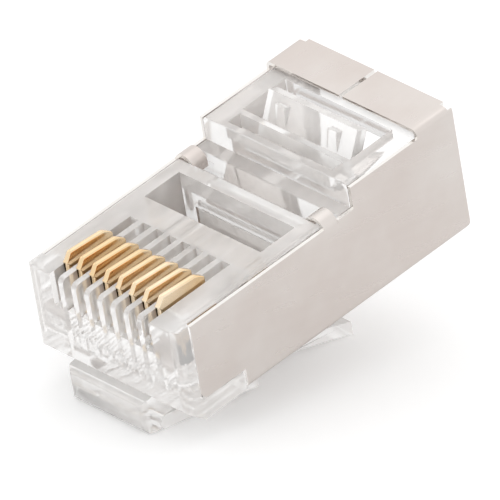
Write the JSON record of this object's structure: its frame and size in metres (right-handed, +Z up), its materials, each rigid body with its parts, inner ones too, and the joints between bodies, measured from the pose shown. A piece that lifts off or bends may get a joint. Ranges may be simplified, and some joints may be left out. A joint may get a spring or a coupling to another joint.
{
  "type": "shielded modular plug",
  "caption": "Shielded modular data plug, uncrimped: clear moulded body with a comb of raised gold contacts, spring latch and folded metal shield, for the end of a network cable.",
  "frame": {"origin": "middle of the bounding box, on the surface that the plug rests on, with its latch under it", "axes": "+X across the plug, -Y towards the mating face, +Z up; the plug lies on its latch, contacts up, its cable end raised"},
  "size_m": [0.0116, 0.0228, 0.0148],
  "materials": {
    "clear_plastic": "clear moulded polycarbonate",
    "nickel": "nickel plated sheet, satin",
    "gold": "gold plated"
  },
  "bodies": {
    "root": {"housing": "clear_plastic", "shield": "nickel"},
    "latch_body": {"latch": "clear_plastic"},
    "jacket_clamp_body": {"jacket_clamp": "clear_plastic"},
    "conductor_clamp_body": {"conductor_clamp": "clear_plastic"},
    "contact_1_body": {"contact_1": "gold"},
    "contact_2_body": {"contact_2": "gold"},
    "contact_3_body": {"contact_3": "gold"},
    "contact_4_body": {"contact_4": "gold"},
    "contact_5_body": {"contact_5": "gold"},
    "contact_6_body": {"contact_6": "gold"},
    "contact_7_body": {"contact_7": "gold"},
    "contact_8_body": {"contact_8": "gold"}
  },
  "joints": [
    {"name": "latch_hinge", "type": "hinge", "parent": "root", "child": "latch_body", "pos_m": [0, -0.00887, 0.00047], "axis": [1, 0, 0], "range_deg": [0, 13], "stiffness_Nm_per_rad": 0.2},
    {"name": "jacket_clamp_hinge", "type": "hinge", "parent": "root", "child": "jacket_clamp_body", "pos_m": [0, 0.00443, 0.01123], "axis": [-1, 0, 0], "range_deg": [0, 52]},
    {"name": "conductor_clamp_hinge", "type": "hinge", "parent": "root", "child": "conductor_clamp_body", "pos_m": [0, 0.0001, 0.0085], "axis": [1, 0, 0], "range_deg": [0, 18]},
    {"name": "contact_1_slide", "type": "slide", "parent": "root", "child": "contact_1_body", "axis": [0, 0.2412, -0.9705], "range_m": [0, 0.00125]},
    {"name": "contact_2_slide", "type": "slide", "parent": "root", "child": "contact_2_body", "axis": [0, 0.2412, -0.9705], "range_m": [0, 0.00125]},
    {"name": "contact_3_slide", "type": "slide", "parent": "root", "child": "contact_3_body", "axis": [0, 0.2412, -0.9705], "range_m": [0, 0.00125]},
    {"name": "contact_4_slide", "type": "slide", "parent": "root", "child": "contact_4_body", "axis": [0, 0.2412, -0.9705], "range_m": [0, 0.00125]},
    {"name": "contact_5_slide", "type": "slide", "parent": "root", "child": "contact_5_body", "axis": [0, 0.2412, -0.9705], "range_m": [0, 0.00125]},
    {"name": "contact_6_slide", "type": "slide", "parent": "root", "child": "contact_6_body", "axis": [0, 0.2412, -0.9705], "range_m": [0, 0.00125]},
    {"name": "contact_7_slide", "type": "slide", "parent": "root", "child": "contact_7_body", "axis": [0, 0.2412, -0.9705], "range_m": [0, 0.00125]},
    {"name": "contact_8_slide", "type": "slide", "parent": "root", "child": "contact_8_body", "axis": [0, 0.2412, -0.9705], "range_m": [0, 0.00125]}
  ],
  "couplings": [
    {"joint": "contact_2_slide", "follows": "contact_1_slide", "ratio": 1},
    {"joint": "contact_3_slide", "follows": "contact_1_slide", "ratio": 1},
    {"joint": "contact_4_slide", "follows": "contact_1_slide", "ratio": 1},
    {"joint": "contact_5_slide", "follows": "contact_1_slide", "ratio": 1},
    {"joint": "contact_6_slide", "follows": "contact_1_slide", "ratio": 1},
    {"joint": "contact_7_slide", "follows": "contact_1_slide", "ratio": 1},
    {"joint": "contact_8_slide", "follows": "contact_1_slide", "ratio": 1}
  ]
}
